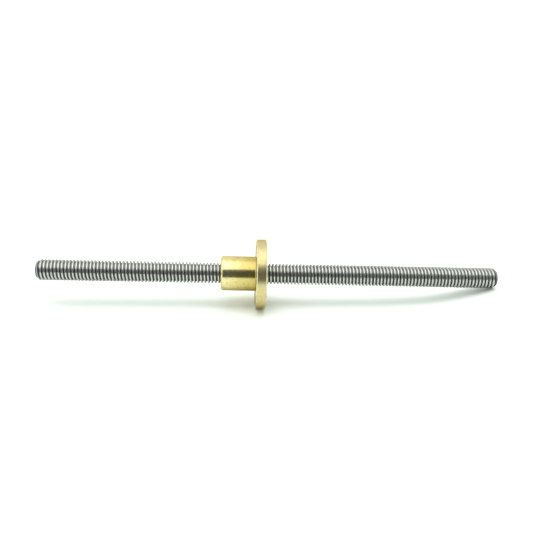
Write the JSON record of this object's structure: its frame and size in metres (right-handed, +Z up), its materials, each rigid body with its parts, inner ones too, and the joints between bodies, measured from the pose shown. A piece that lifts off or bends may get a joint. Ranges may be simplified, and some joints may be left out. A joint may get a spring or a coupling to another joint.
{
  "type": "trapezoidal lead screw",
  "caption": "Thin trapezoidal lead screw with a round flanged brass nut that travels along its thread.",
  "frame": {"origin": "centre of the footprint, on the surface that the pair lies on: the flange's rim and the screw's +X end touch it", "axes": "+X along the screw seen from above, towards the end that touches the surface and away from the nut's barrel end; the screw's axis falls 5.956 degrees towards +X; +Y sideways; +Z up"},
  "size_m": [0.1328, 0.02, 0.0201],
  "materials": {
    "screw_steel": "rolled thread, semi-bright, with fine marks along the turns",
    "nut_brass": "fine turned, satin, slightly tarnished"
  },
  "bodies": {
    "screw": {"lead_screw": "screw_steel"},
    "nut": {"flanged_nut": "nut_brass"}
  },
  "joints": [
    {"name": "nut_travel", "type": "slide", "parent": "screw", "child": "nut", "axis": [0.9946, 0, -0.1038], "range_m": [-0.052, 0.067]}
  ]
}
